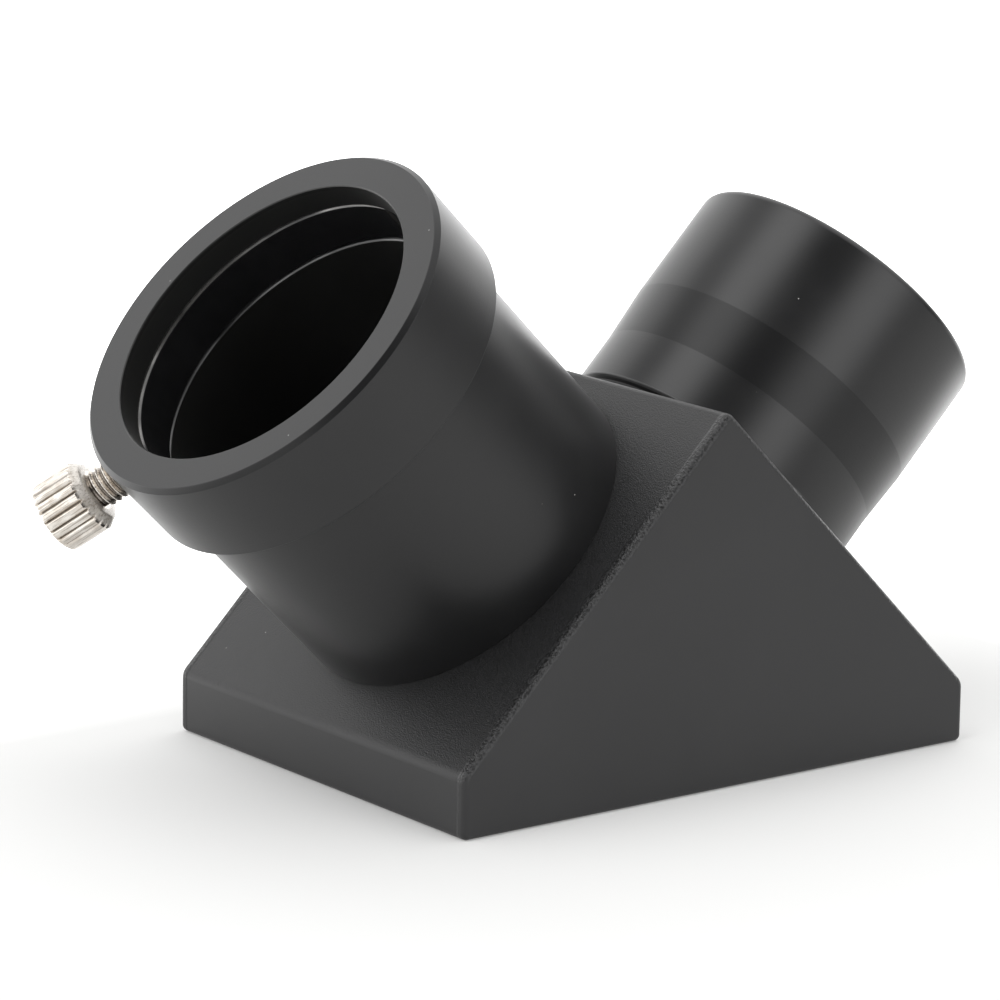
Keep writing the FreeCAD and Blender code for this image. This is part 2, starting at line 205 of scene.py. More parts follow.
def turned(name, section, place, turns=256, gap=None):
    """Spins a closed section about +Z. gap = (start, end) angles leaves that slot open."""
    points = eased(section)
    first, last = (gap[1], gap[0] + 2 * math.pi) if gap else (0.0, 2 * math.pi)
    rings = turns + 1 if gap else turns
    vertices = []
    for ring in range(rings):
        angle = first + (last - first) * ring / turns
        vertices += [(p.x * math.cos(angle), p.x * math.sin(angle), p.y) for p in points]
    count = len(points)
    faces = []
    for ring in range(turns):
        here, there = ring * count, (ring + 1) % rings * count
        for i in range(count):
            j = (i + 1) % count
            faces.append((here + i, there + i, there + j, here + j))
    if gap:
        faces.append(tuple(range(count)))
        faces.append(tuple(range(turns * count, rings * count)))
    piece = finish_mesh(name, vertices, faces, place)
    print("%s: %d section points, %d faces" % (name, count, len(piece.data.polygons)))
    return piece


def drilled(piece, cutter):
    """Cuts the cutter out of the piece for good and throws the cutter away."""
    cut = piece.modifiers.new("drill", "BOOLEAN")
    cut.operation = "DIFFERENCE"
    cut.solver = "EXACT"
    cut.object = cutter
    piece.modifiers.move(len(piece.modifiers) - 1, 0)
    bpy.context.view_layer.update()
    weighted = piece.modifiers["even_shading"]
    weighted.show_viewport = False
    evaluated = piece.evaluated_get(bpy.context.evaluated_depsgraph_get())
    mesh = bpy.data.meshes.new_from_object(evaluated)
    weighted.show_viewport = True
    piece.modifiers.remove(cut)
    piece.data = mesh
    mesh.name = piece.name
    mesh.set_sharp_from_angle(angle=math.radians(SHARP_DEGREES))
    bpy.data.objects.remove(cutter)


# %% [markdown]
# ## Eyepiece holder
# One turned piece: a 36 mm barrel that thickens to a 39.5 mm collar, with a 31.8 mm bore. A
# groove inside the collar holds the clamp ring. The bore ends on a small lip, so that no
# eyepiece can reach the mirror. The collar is drilled and tapped on one side for the screw.

# %% Eyepiece holder
BORE_R = mount("eyepiece_bore")["dims"]["r_mm"]
BARREL_R = 17.95
COLLAR_R = 19.75
COLLAR_HEIGHT = 9.6
COLLAR_BEVEL = 0.46
HOLDER_THREAD_R = 17.0
STOP_HEIGHT = 2.5
STOP_STEP = 1.9
STOP_R = BORE_R - STOP_STEP
GROOVE_DEPTH = 1.3
GROOVE_BELOW_RIM = 2.9
GROOVE_HEIGHT = 5.05
LIP_BEVEL = 0.15
MOUTH_BEVEL = 0.1

rim = HOLDER_HEIGHT / MM
spigot = SPIGOT_LENGTH / MM
collar_foot = rim - COLLAR_HEIGHT
groove_top = rim - GROOVE_BELOW_RIM
groove_foot = groove_top - GROOVE_HEIGHT
groove_r = BORE_R + GROOVE_DEPTH
holder = turned("holder_turned", [
    (STOP_R, -spigot, 0.1), (HOLDER_THREAD_R, -spigot, 0.1), (HOLDER_THREAD_R, 0, 0),
    (BARREL_R, 0, 0.05), (BARREL_R, collar_foot, 0.03), (COLLAR_R - 0.05, collar_foot, 0.1),
    (COLLAR_R, rim - COLLAR_BEVEL, 0.06), (COLLAR_R - COLLAR_BEVEL, rim, 0.06),
    (BORE_R + MOUTH_BEVEL, rim, 0.03), (BORE_R, rim - MOUTH_BEVEL, 0.03),
    (BORE_R, groove_top + LIP_BEVEL, 0.04), (BORE_R + LIP_BEVEL, groove_top, 0.04),
    (groove_r, groove_top, 0), (groove_r, groove_foot, 0),
    (BORE_R + LIP_BEVEL, groove_foot, 0.04), (BORE_R, groove_foot - LIP_BEVEL, 0.04),
    (BORE_R, STOP_HEIGHT, 0.05), (STOP_R, STOP_HEIGHT, 0.15)], holder_frame)
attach(holder, "diagonal_body")
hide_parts("eyepiece_holder")

# %% [markdown]
# The screw's hole is drilled square to the bore. A countersink breaks its edge, so that the
# thread doesn't lift a burr. A boolean does the drilling, because a turned mesh can't have a
# side hole of its own.

# %% Tapped hole in the collar
HOLE_R = 2.05
COUNTERSINK = 0.35
POINT = 0.001                # a cone's point, as a radius just above zero
drill_low = BORE_R - 0.5     # the bit starts inside the bore and ends outside the collar
drill_high = COLLAR_R + 1.4
drill = turned("drill_bit", [
    (POINT, drill_low, 0), (HOLE_R, drill_low, 0), (HOLE_R, COLLAR_R - COUNTERSINK - 0.1, 0),
    (HOLE_R + COUNTERSINK + 1.5, drill_high, 0), (POINT, drill_high, 0)], screw_frame, turns=96)
drilled(holder, drill)
print("holder after drilling:", len(holder.data.polygons), "faces")

# %% [markdown]
# ## Clamp ring
# A split ring of blackened bronze sits in the groove. The thumbscrew presses on its back, and
# the ring closes on the eyepiece without marking it. It is nearly flush with the bore, so all
# that shows is its two broken edges, each a thin bright line, and the slot where it is split.
# It lies loose in the groove, a little pushed over by the screw, so it stands a tenth of a
# millimetre proud of the bore on the screw's side and sinks into the groove on the other.

# %% Clamp ring
RING_RECESS = 0.02
RING_THICKNESS = 1.0
RING_INNER_R = BORE_R + RING_RECESS
RING_OUTER_R = RING_INNER_R + RING_THICKNESS
RING_OFFSET = 0.14           # how far the screw has pushed the loose ring over
RING_PLAY = 0.08
RING_EDGE = 0.2
RING_GAP = 1.2
RING_GAP_ANGLE = math.radians(356.0)

ring_top = groove_top - RING_PLAY
ring_foot = groove_foot + RING_PLAY
half_gap = RING_GAP / 2 / RING_INNER_R
ring = turned("ring_split", [
    (RING_INNER_R + RING_EDGE, ring_foot, 0.05), (RING_OUTER_R, ring_foot, 0.05),
    (RING_OUTER_R, ring_top, 0.05), (RING_INNER_R + RING_EDGE, ring_top, 0.05),
    (RING_INNER_R, ring_top - RING_EDGE, 0.05), (RING_INNER_R, ring_foot + RING_EDGE, 0.05)],
    Matrix.Translation(screw_axis * -RING_OFFSET * MM) @ holder_frame,
    gap=(RING_GAP_ANGLE - half_gap, RING_GAP_ANGLE + half_gap))
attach(ring, "diagonal_body")
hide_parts("clamp_ring")

# %% [markdown]
# ## Nosepiece
# A turned barrel of 31.7 mm. Near its foot it tapers by a third of a millimetre, so that a
# loosened clamp screw still catches it before it can slide out of a focuser. The taper leans
# by only three degrees; its material dims the reflection along it, so it reads as a darker
# band. Below it the barrel stands on a short neck, just narrow enough for a spanner ring,
# whose material paints shade on it. The open end has the fine thread that every filter of this size screws into.

# %% Nosepiece
NOSE_R = mount("nosepiece_barrel")["dims"]["r_mm"]
NOSE_WALL = 2.45
FOOT_STEP = 0.32
NECK_STEP = 0.4
FOOT_BEVEL = 0.4
NOSE_BORE_R = NOSE_R - NOSE_WALL
NOSE_FOOT_R = NOSE_R - FOOT_STEP
NOSE_NECK_R = NOSE_FOOT_R - NECK_STEP
NOSE_NECK_HEIGHT = 2.5
NOSE_THREAD_R = 15.0
TAPER_LOW = 8.3
TAPER_HIGH = 14.0
TAPER_EASE = 1.5             # the taper runs into the barrel without an edge
NOSE_END_EASE = 0.8
FILTER_MINOR_R = mount("filter_thread")["dims"]["r_mm"]
FILTER_LENGTH = 5.5
FILTER_RELIEF = 0.32         # the smooth wall behind the thread, beyond its minor radius
FILTER_MOUTH = 0.75
FILTER_ENTRY = 0.45
nose_end = NOSE_HEIGHT / MM
filter_foot = nose_end - FILTER_LENGTH
nose = turned("nose_turned", [
    (NOSE_BORE_R, -spigot, 0.1), (NOSE_THREAD_R, -spigot, 0.1), (NOSE_THREAD_R, 0, 0),
    (NOSE_NECK_R, 0, 0), (NOSE_NECK_R, NOSE_NECK_HEIGHT, 0.05),
    (NOSE_FOOT_R, NOSE_NECK_HEIGHT + FOOT_BEVEL, 0.3), (NOSE_FOOT_R, TAPER_LOW, TAPER_EASE),
    (NOSE_R, TAPER_HIGH, TAPER_EASE), (NOSE_R, nose_end, NOSE_END_EASE),
    (FILTER_MINOR_R + FILTER_MOUTH, nose_end, 0.05),
    (FILTER_MINOR_R + FILTER_RELIEF, nose_end - FILTER_ENTRY, 0.05),
    (FILTER_MINOR_R + FILTER_RELIEF, filter_foot, 0), (NOSE_BORE_R, filter_foot, 0.1)], nose_frame)
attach(nose, "diagonal_body")
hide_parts("nosepiece")

# %% [markdown]
# ## Screw threads
# A thread is a ridge that climbs one pitch in each turn. A grid of points does it well: one
# direction runs round the axis, the other along it, and the radius of each point is read from
# a rounded zigzag of (height - pitch x turns). The same function cuts the thumbscrew's outside
# thread and, with the ridge turned inwards, the filter thread in the nosepiece.

# %% Thread surface
def zigzag(t):
    """1 on a crest and 0 in a root, once per unit of t, with both rounded over."""
    wave = abs((t % 1.0) * 2 - 1)
    return min(1.0, max(0.0, (wave - 0.12) / 0.72))


def thread_points(r_root, r_crest, pitch, low, high, around, along, fade):
    """Grid of (x, y, z) over a threaded wall. The ridge fades out over a length at each end."""
    rows = []
    for i in range(along + 1):
        z = low + (high - low) * i / along
        ends = min(1.0, (z - low) / fade, (high - z) / fade)
        row = []
        for j in range(around):
            angle = 2 * math.pi * j / around
            height = zigzag(z / pitch - j / around) * max(0.0, ends)
            radius = r_root + (r_crest - r_root) * height
            row.append((radius * math.cos(angle), radius * math.sin(angle), z))
        rows.append(row)
    return rows


def circle(radius, z, around):
    """One plain ring of such a grid."""
    turns = [2 * math.pi * j / around for j in range(around)]
    return [(radius * math.cos(turn), radius * math.sin(turn), z) for turn in turns]


def grid_faces(rows, around):
    """Quads between each ring of points and the next."""
    faces = []
    for i in range(rows - 1):
        for j in range(around):
            k = (j + 1) % around
            faces.append((i * around + j, i * around + k, (i + 1) * around + k, (i + 1) * around + j))
    return faces


# %% [markdown]
# The filter thread is M28.5 x 0.6. It is a thin sleeve inside the open end: its inner wall is
# the thread, and its plain outer wall is buried in the nosepiece.

# %% Filter thread
FILTER_PITCH = 0.6
FILTER_DEPTH = 0.3
SLEEVE_WALL = 0.36
AROUND = 192
FILTER_ROWS = 110
thread_low = filter_foot + 0.02
thread_high = nose_end - 0.35
wall = thread_points(FILTER_MINOR_R + FILTER_DEPTH, FILTER_MINOR_R, FILTER_PITCH,
                     thread_low, thread_high, AROUND, FILTER_ROWS, FILTER_PITCH)
wall += [circle(FILTER_MINOR_R + SLEEVE_WALL, z, AROUND) for z in (thread_high, thread_low)]
sleeve_faces = grid_faces(len(wall), AROUND)
last = (len(wall) - 1) * AROUND
sleeve_faces += [(last + j, last + (j + 1) % AROUND, (j + 1) % AROUND, j) for j in range(AROUND)]
filter_thread = finish_mesh("nose_filter_thread", [p for row in wall for p in row], sleeve_faces,
                            nose_frame, sharp_degrees=60)
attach(filter_thread, "diagonal_body")
print("filter thread:", len(filter_thread.data.polygons), "faces")

# %% [markdown]
# ## Thumbscrew
# Head and stud are one piece of nickel-plated brass. The head's straight ribs are pressed in
# by a knurling wheel: each is a sharp V with a narrow flat top. Its inner end is a plain cone.
# The head is a grid again: round the axis the radius follows the ribs, and along the axis the
# outline sets how tall the ribs may stand, so they run out by themselves on the cone.

# %% Thumbscrew
SCREW_R = 2.0
SCREW_PITCH = 0.7
SCREW_ROOT_R = 1.62
HEAD_R = 3.58
HEAD_CORE_R = 3.28
HEAD_LENGTH = 5.2
HEAD_STANDOFF = 3.25
HEAD_BEVEL = 1.0
HEAD_ROUND = 0.52
HEAD_CONE = 0.62
CONE_SEAT = 0.35             # flat left round the stud, inside the cone
CONE_EASE = 0.1
RECESS_DEPTH = 0.12          # shallow dish in the head's outer face
RIBS = 21
POINTS_PER_RIB = 12
STUD_ROWS = 190
STUD_FADE = 0.45
TIP_TO_RING = 0.5
TIP_HEAD = 0.5
TIP_PLAY = 0.05
STUD_END = RING_OUTER_R + TIP_TO_RING + TIP_HEAD + TIP_PLAY
TIP_HOLE_R = 0.85
TIP_HOLE = 1.7

head_foot = COLLAR_R + HEAD_STANDOFF
head_top = head_foot + HEAD_LENGTH
AROUND_HEAD = RIBS * POINTS_PER_RIB


def rib(j):
    """0 in a groove of the knurl, 1 on a rib, with a narrow flat top."""
    t = abs((j % POINTS_PER_RIB) / POINTS_PER_RIB * 2 - 1)
    return min(1.0, (1 - t) * 2.4)


def ring_of(z, limit):
    """One ring of the head: the ribs, but never further out than limit."""
    ring_points = []
    for j in range(AROUND_HEAD):
        radius = min(limit, HEAD_CORE_R + (HEAD_R - HEAD_CORE_R) * rib(j))
        angle = 2 * math.pi * j / AROUND_HEAD
        ring_points.append((radius * math.cos(angle), radius * math.sin(angle), z))
    return ring_points


outline = [(head_foot + 0.02, SCREW_ROOT_R), (head_foot, HEAD_R - HEAD_CONE - CONE_SEAT),
           (head_foot + 0.05, HEAD_R - HEAD_CONE - CONE_EASE)]
outline += [(head_foot + CONE_EASE + (HEAD_BEVEL - CONE_EASE) * k / 8, HEAD_R - HEAD_CONE * (1 - k / 8))
            for k in range(9)]
outline += [(head_top - HEAD_ROUND, HEAD_R)]
outline += [(head_top - HEAD_ROUND * (1 - math.sin(a)), HEAD_R - HEAD_ROUND * (1 - math.cos(a)))
            for a in (math.pi / 2 * k / 6 for k in range(1, 7))]
outline += [(head_top, HEAD_R - 1.2), (head_top - RECESS_DEPTH, HEAD_R - 1.5),
            (head_top - RECESS_DEPTH, 0.6)]
stud = thread_points(SCREW_ROOT_R, SCREW_R, SCREW_PITCH, STUD_END + 0.05, head_foot + 0.02,
                     AROUND_HEAD, STUD_ROWS, STUD_FADE)
hole = [circle(TIP_HOLE_R, z, AROUND_HEAD) for z in (STUD_END + TIP_HOLE, STUD_END)]
body = hole + stud + [ring_of(z, limit) for z, limit in outline]
screw_faces = grid_faces(len(body), AROUND_HEAD)
screw_faces.append(tuple(range(AROUND_HEAD)))
screw_faces.append(tuple(range((len(body) - 1) * AROUND_HEAD, len(body) * AROUND_HEAD)))
thumbscrew = finish_mesh("thumbscrew_knurled", [p for row in body for p in row], screw_faces,
                         screw_frame, sharp_degrees=24)
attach(thumbscrew, "clamp_screw")
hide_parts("thumbscrew")
print("thumbscrew:", len(thumbscrew.data.polygons), "faces")

# %% [markdown]
# The thumbscrew pushes through a small nylon pin that swivels in its end, so that the turning
# metal doesn't rub the clamp ring.

# %% Pressure tip
TIP_R = 1.3
TIP_STEM_R = 0.8
TIP_LENGTH = 2.1
tip_face = RING_OUTER_R + TIP_TO_RING
tip = turned("tip_moulded", [
    (POINT, tip_face, 0), (TIP_R, tip_face, 0.25), (TIP_R, tip_face + TIP_HEAD, 0.08),
    (TIP_STEM_R, tip_face + TIP_HEAD, 0), (TIP_STEM_R, tip_face + TIP_LENGTH, 0.15),
    (POINT, tip_face + TIP_LENGTH, 0)], screw_frame, turns=64)
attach(tip, "pressure_tip")
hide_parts("thumbscrew_tip")

# %% [markdown]
# ## Colour and shader helpers
# Colours are picked as they look on a screen, so they are written as sRGB hex values and turned
# to the linear values that a shader works in. Pattern sizes are written in millimetres. Blender
# counts pattern repeats per metre, so one helper turns the one into the other. The others each
# add one kind of shader node, set it up and link it in one call.

# %% Colour and node helpers
def linear(hex_colour):
    """sRGB hex to a linear RGBA tuple."""
    parts = [int(hex_colour[i:i + 2], 16) / 255 for i in (1, 3, 5)]
    return tuple(c / 12.92 if c <= 0.04045 else ((c + 0.055) / 1.055) ** 2.4 for c in parts) + (1.0,)


def per_mm(size):
    """Pattern scale for features of that size in millimetres."""
    return 1 / (size * MM)


def add(tree, kind, inputs=(), **settings):
    """Adds a shader node. inputs maps a socket's name or number to a value or another socket."""
    made = tree.nodes.new(kind)
    for name, value in settings.items():
        setattr(made, name, value)
    for key, value in dict(inputs).items():
        if isinstance(value, bpy.types.NodeSocket):
            tree.links.new(value, made.inputs[key])
        else:
            made.inputs[key].default_value = value
    return made


def new_material(name, **surface):
    """A material with one Principled surface. Returns (material, tree, surface node)."""
    material = bpy.data.materials.new(name)
    material.use_nodes = True
    tree = material.node_tree
    tree.nodes.clear()
    bsdf = add(tree, "ShaderNodeBsdfPrincipled", surface)
    add(tree, "ShaderNodeOutputMaterial", {"Surface": bsdf.outputs[0]})
    return material, tree, bsdf


def object_place(tree):
    """Where on the object a point is, in metres."""
    return add(tree, "ShaderNodeTexCoord").outputs["Object"]


def noise(tree, place, size, detail, **inputs):
    """Noise with features of that size in millimetres."""
    return add(tree, "ShaderNodeTexNoise", {"Vector": place, "Scale": per_mm(size), "Detail": detail,
                                            **inputs}).outputs[0]


def ramp(tree, factor, low, high, dark, light):
    """Maps factor from low..high to the range dark..light, clamped."""
    made = add(tree, "ShaderNodeMapRange", {"Value": factor, "From Min": low, "From Max": high,
                                            "To Min": dark, "To Max": light})
    return made.outputs[0]


def within(tree, length, rise, fall):
    """Mask that goes from 0 to 1 over rise and back to 0 over fall, both (start, end) in mm."""
    return product(tree, ramp(tree, length, rise[0] * MM, rise[1] * MM, 0.0, 1.0),
                   ramp(tree, length, fall[0] * MM, fall[1] * MM, 1.0, 0.0))


def arithmetic(tree, operation, *values):
    """One sum on values or sockets."""
    return add(tree, "ShaderNodeMath", dict(enumerate(values)), operation=operation).outputs[0]


def product(tree, one, other):
    return arithmetic(tree, "MULTIPLY", one, other)


def blended(tree, factor, one, other):
    """Goes from one number to another by factor."""
    return add(tree, "ShaderNodeMix", {"Factor": factor, 2: one, 3: other}, data_type="FLOAT").outputs[0]


def mixed(tree, factor, one, other):
    """Goes from one colour to another by factor."""
    return add(tree, "ShaderNodeMix", {"Factor": factor, 6: one, 7: other}, data_type="RGBA").outputs[2]


def tint(tree, factor, dark, light):
    """Goes from one hex colour to another by factor."""
    return mixed(tree, factor, linear(dark), linear(light))


def coat(piece, material):
    """Gives a piece this material and no other."""
    piece.data.materials.clear()
    piece.data.materials.append(material)


# %% [markdown]
# ## Dust and distances
# A black part always carries a few specks of dust, and they give the eye a scale. Each speck is
# the middle of one cell of a Voronoi pattern. Several finishes here also change with the
# distance from a turned part's axis, or along it, so one helper measures both in the shader.
# The last helper here lays a second colour over a finish, for wear and for painted shade and highlights.

# %% Dust and distance from an axis
SPECK_R = 0.08
SPECK_SPACING = 3.6
SPECK_OPACITY = 0.7


def dusted(tree, place, colour):
    """Lays a few pale specks of dust over a colour."""
    cells = add(tree, "ShaderNodeTexVoronoi", {"Vector": place, "Scale": per_mm(SPECK_SPACING)})
    edge = SPECK_R / SPECK_SPACING
    speck = ramp(tree, cells.outputs["Distance"], edge * 0.5, edge, SPECK_OPACITY, 0.0)
    return mixed(tree, speck, colour, linear("#c9c8c4"))


def from_axis(tree, place, origin, axis):
    """Distance from an axis, and distance along it, both in metres."""
    offset = add(tree, "ShaderNodeVectorMath", {0: place, 1: origin}, operation="SUBTRACT").outputs[0]
    along = add(tree, "ShaderNodeVectorMath", {0: offset, 1: axis}, operation="DOT_PRODUCT").outputs["Value"]
    crosswise = add(tree, "ShaderNodeVectorMath", {0: offset, 1: axis}, operation="CROSS_PRODUCT").outputs[0]
    radius = add(tree, "ShaderNodeVectorMath", {0: crosswise}, operation="LENGTH").outputs["Value"]
    return radius, along


def overlaid(material, mask, hex_colour):
    """Lays another colour over a finished surface where the mask is 1."""
    tree = material.node_tree
    bsdf = tree.nodes["Principled BSDF"]
    below = bsdf.inputs["Base Color"].links[0].from_socket
    tree.links.new(mixed(tree, mask, below, linear(hex_colour)), bsdf.inputs["Base Color"])


# %% [markdown]
# ## Black anodised aluminium
# The tubes are turned from bar, blasted lightly, and anodised: the acid bath grows a hard, clear
# oxide that is then dyed black. To the eye it is not a metal any more. It is a black body under
# a thin sealed skin, so it is metallic 0 with the skin's IOR of about 1.5, a satin roughness,
# and strong pale reflections only at grazing angles. Very fine tool rings go round the tubes.
# Real ones are about 0.1 mm apart, too fine to show, so they are drawn at 0.3 mm and kept faint.
# Some zones reflect less than the rest: the rim's bevel was cut after the blasting and is
# duller, the nosepiece's taper has its reflection dimmed to a darker band, and its neck has
# its reflection dimmed as painted shade. Two edges carry a painted highlight, a paler colour:
# the groove's lower lip in the bore, and the bevel at the nosepiece's foot.

# %% Black anodised aluminium
TOOL_RING = 0.3              # spacing of the turning marks
SKIN_GRAIN = 0.18
DYE_CLOUD = 9.0
BORE_ROUGHNESS = 0.30
ZONE_EDGE = 0.03
BEVEL_GLOSS, BEVEL_ROUGHNESS = 0.55, 0.34
TAPER_GLOSS, TAPER_ROUGHNESS = 0.72, 0.33
NECK_SHADE_GLOSS, NECK_ROUGHNESS = 0.75, 0.60


def black_anodised_aluminium(name, axis, origin, roughness, inside_r=0.0, sheen=0.10, zones=()):
    """zones = (low, high, gloss, roughness) in mm along the axis, where the reflection is dimmed, for a duller
    finish and for painted shade.
    """
    material, tree, bsdf = new_material(name, **{"IOR": 1.50, "Sheen Weight": sheen,
                                                 "Sheen Roughness": 0.30})
    place = object_place(tree)
    radius, along = from_axis(tree, place, origin, axis)
    rings = add(tree, "ShaderNodeTexNoise", {"W": product(tree, along, per_mm(TOOL_RING)), "Scale": 1.0,
                                             "Detail": 2.0, "Roughness": 0.7},
                noise_dimensions="1D").outputs[0]
    grain = noise(tree, place, SKIN_GRAIN, 3.0)
    cloud = noise(tree, place, DYE_CLOUD, 4.0)
    uneven = ramp(tree, arithmetic(tree, "ADD", grain, cloud), 0.7, 1.3, 0.0, 1.0)
    dye = tint(tree, uneven, "#0e0e0f", "#131314")
    satin = ramp(tree, cloud, 0.3, 0.7, roughness - 0.03, roughness + 0.03)
    inside = ramp(tree, radius, inside_r * MM, (inside_r + 0.05) * MM, 1.0, 0.0)
    flat_black = tint(tree, cloud, "#1a1a1a", "#1f1f1e")
    colour = mixed(tree, inside, dusted(tree, place, dye), flat_black)
    rough = blended(tree, inside, satin, BORE_ROUGHNESS)
    gloss = ramp(tree, cloud, 0.3, 0.7, 0.97, 1.0)
    for low, high, zone_gloss, zone_rough in zones:
        in_zone = within(tree, along, (low - ZONE_EDGE, low + ZONE_EDGE),
                         (high - ZONE_EDGE, high + ZONE_EDGE))
        gloss = product(tree, gloss, ramp(tree, in_zone, 0.0, 1.0, 1.0, zone_gloss))
        rough = blended(tree, in_zone, rough, zone_rough)
    tree.links.new(gloss, bsdf.inputs["Specular Tint"])
    tree.links.new(colour, bsdf.inputs["Base Color"])
    tree.links.new(rough, bsdf.inputs["Roughness"])
    fine = add(tree, "ShaderNodeBump", {"Height": grain, "Strength": 0.10, "Distance": 0.03 * MM})
    tooled = add(tree, "ShaderNodeBump", {"Height": rings, "Strength": 0.12, "Distance": 0.02 * MM,
                                          "Normal": fine.outputs[0]})
    tree.links.new(tooled.outputs[0], bsdf.inputs["Normal"])
    return material


def paint_edge_highlight(material, origin, axis, radii, heights, shade):
    """Paints a paler edge between two radii and two heights, in mm, more in some places: a painted highlight."""
    tree = material.node_tree
    place = object_place(tree)
    radius, along = from_axis(tree, place, origin, axis)
    highlight_patches = noise(tree, place, 6.0, 2.0)
    (low_r, high_r), (low, high) = radii, heights
    at_height = within(tree, along, (low, low + 0.05), (high - 0.05, high))
    at_radius = within(tree, radius, (low_r, low_r + 0.03), (high_r, high_r + 0.03))
    patchy = ramp(tree, highlight_patches, 0.38, 0.60, 0.15, 1.0)
    overlaid(material, product(tree, product(tree, at_height, at_radius), patchy), shade)


holder_black = black_anodised_aluminium(
    "black_anodised_aluminium_holder", holder_axis, holder_foot, 0.36, inside_r=BORE_R + 0.12,
    zones=[(rim - COLLAR_BEVEL, rim - 0.04, BEVEL_GLOSS, BEVEL_ROUGHNESS)])
# The nosepiece's taper has its reflection dimmed, which shows as a darker band, and its neck has its reflection
# dimmed as painted shade.
nose_black = black_anodised_aluminium(
    "black_anodised_aluminium_nosepiece", nose_axis, nose_foot, 0.33, inside_r=FILTER_MINOR_R + 0.6,
    sheen=0.06, zones=[(TAPER_LOW, TAPER_HIGH, TAPER_GLOSS, TAPER_ROUGHNESS),
                       (-spigot, NOSE_NECK_HEIGHT, NECK_SHADE_GLOSS, NECK_ROUGHNESS)])
# Painted highlights: pale grey on the groove's lower lip in the bore, and grey on the bevel at the nosepiece's
# foot.
paint_edge_highlight(holder_black, holder_foot, holder_axis, (BORE_R + 0.02, BORE_R + 0.3),
         (groove_foot - 0.2, groove_foot + 0.02), "#8c8c8c")
paint_edge_highlight(nose_black, nose_foot, nose_axis, (NOSE_NECK_R + 0.2, NOSE_R),
         (NOSE_NECK_HEIGHT + 0.1, NOSE_NECK_HEIGHT + 0.55), "#424242")
coat(holder, holder_black)
for piece in (nose, filter_thread):
    coat(piece, nose_black)
print("anodised:", holder_black.name, nose_black.name)

# %% [markdown]
# ## Black stoved coating on the cast body
# The body is an aluminium casting, sprayed with a fine black texture coat and stoved. The
# slopes keep the coat's sandy skin, grains of about a fifth of a millimetre. The upright faces
# were ground before coating and are much smoother, so a mask from the surface's own direction
# turns the sand down wherever the surface stands upright; the same mask gives them a lighter
# base colour, which is painted light. Along the edges between the slopes and the sides the coat
# draws up into a strip of coarser grains that catch the light, and their paler colour is a
# painted highlight along the edge.

# %% Black stoved coating
EDGE_STRIP = 1.15            # width of the coarse strip, from the side face
STRIP_WANDER = 0.06
PEBBLE = 0.18
FINE_PEBBLE = 0.10
COARSE_GRAIN = 0.22
SMUDGE = 14.0

housing_low, housing_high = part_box("housing")
apex = (housing_high.z - housing_low.z) / MM + 0.25     # where the two slopes would meet
body_black, tree, bsdf = new_material("black_stoved_coating", **{"IOR": 1.46, "Sheen Weight": 0.03})
coords = add(tree, "ShaderNodeTexCoord")
place = coords.outputs["Object"]
facing = add(tree, "ShaderNodeSeparateXYZ", {0: coords.outputs["Normal"]}).outputs["Z"]
smooth_side = ramp(tree, arithmetic(tree, "ABSOLUTE", facing), 0.15, 0.55, 1.0, 0.0)
spot = add(tree, "ShaderNodeSeparateXYZ", {0: place})
x_away = arithmetic(tree, "ABSOLUTE", spot.outputs["X"])
y_away = arithmetic(tree, "ABSOLUTE", spot.outputs["Y"])
climbed = arithmetic(tree, "ADD", spot.outputs["Z"], x_away)
under_slope = arithmetic(tree, "SUBTRACT", apex * MM, climbed)
from_side = arithmetic(tree, "SUBTRACT", housing_high.y, y_away)
wander = ramp(tree, noise(tree, place, 0.5, 2.0), 0.3, 0.7, -STRIP_WANDER * MM, STRIP_WANDER * MM)
edge_at = arithmetic(tree, "ADD", from_side, wander)
on_strip = ramp(tree, edge_at, (EDGE_STRIP - 0.15) * MM, EDGE_STRIP * MM, 1.0, 0.0)
on_slope = ramp(tree, under_slope, 0.4 * MM, 0.9 * MM, 1.0, 0.0)
bead = product(tree, on_strip, on_slope)

pebble = noise(tree, place, PEBBLE, 1.0)
fine = noise(tree, place, FINE_PEBBLE, 1.0)
coarse = noise(tree, place, COARSE_GRAIN, 1.0)
smudge = noise(tree, place, SMUDGE, 3.0, Distortion=0.6)
sand = arithmetic(tree, "ADD", pebble, fine)
sand_colour = tint(tree, ramp(tree, sand, 0.75, 1.25, 0.0, 1.0), "#030304", "#252526")
# Painted light: the upright faces get a lighter base colour than the slopes.
side_painted_light_colour = tint(tree, ramp(tree, smudge, 0.3, 0.7, 0.0, 1.0), "#202021", "#252526")
# Painted highlight: the edge strip's grains are paler than the sand on the slopes.
bead_highlight_colour = tint(tree, ramp(tree, coarse, 0.40, 0.60, 0.0, 1.0), "#050505", "#303031")
slope_colour = mixed(tree, bead, sand_colour, bead_highlight_colour)
skin_colour = mixed(tree, smooth_side, slope_colour, side_painted_light_colour)
tree.links.new(dusted(tree, place, skin_colour), bsdf.inputs["Base Color"])
rough_slope = ramp(tree, sand, 0.7, 1.3, 0.36, 0.50)
rough_side = ramp(tree, smudge, 0.35, 0.65, 0.38, 0.45)
rough = blended(tree, bead, blended(tree, smooth_side, rough_slope, rough_side), 0.30)
tree.links.new(rough, bsdf.inputs["Roughness"])
sand_depth = ramp(tree, smooth_side, 0.0, 1.0, 0.8, 0.12)
sanded = add(tree, "ShaderNodeBump", {"Height": sand, "Strength": sand_depth, "Distance": 0.045 * MM})
piled = add(tree, "ShaderNodeBump", {"Height": coarse, "Strength": bead, "Distance": 0.09 * MM,
                                     "Normal": sanded.outputs[0]})
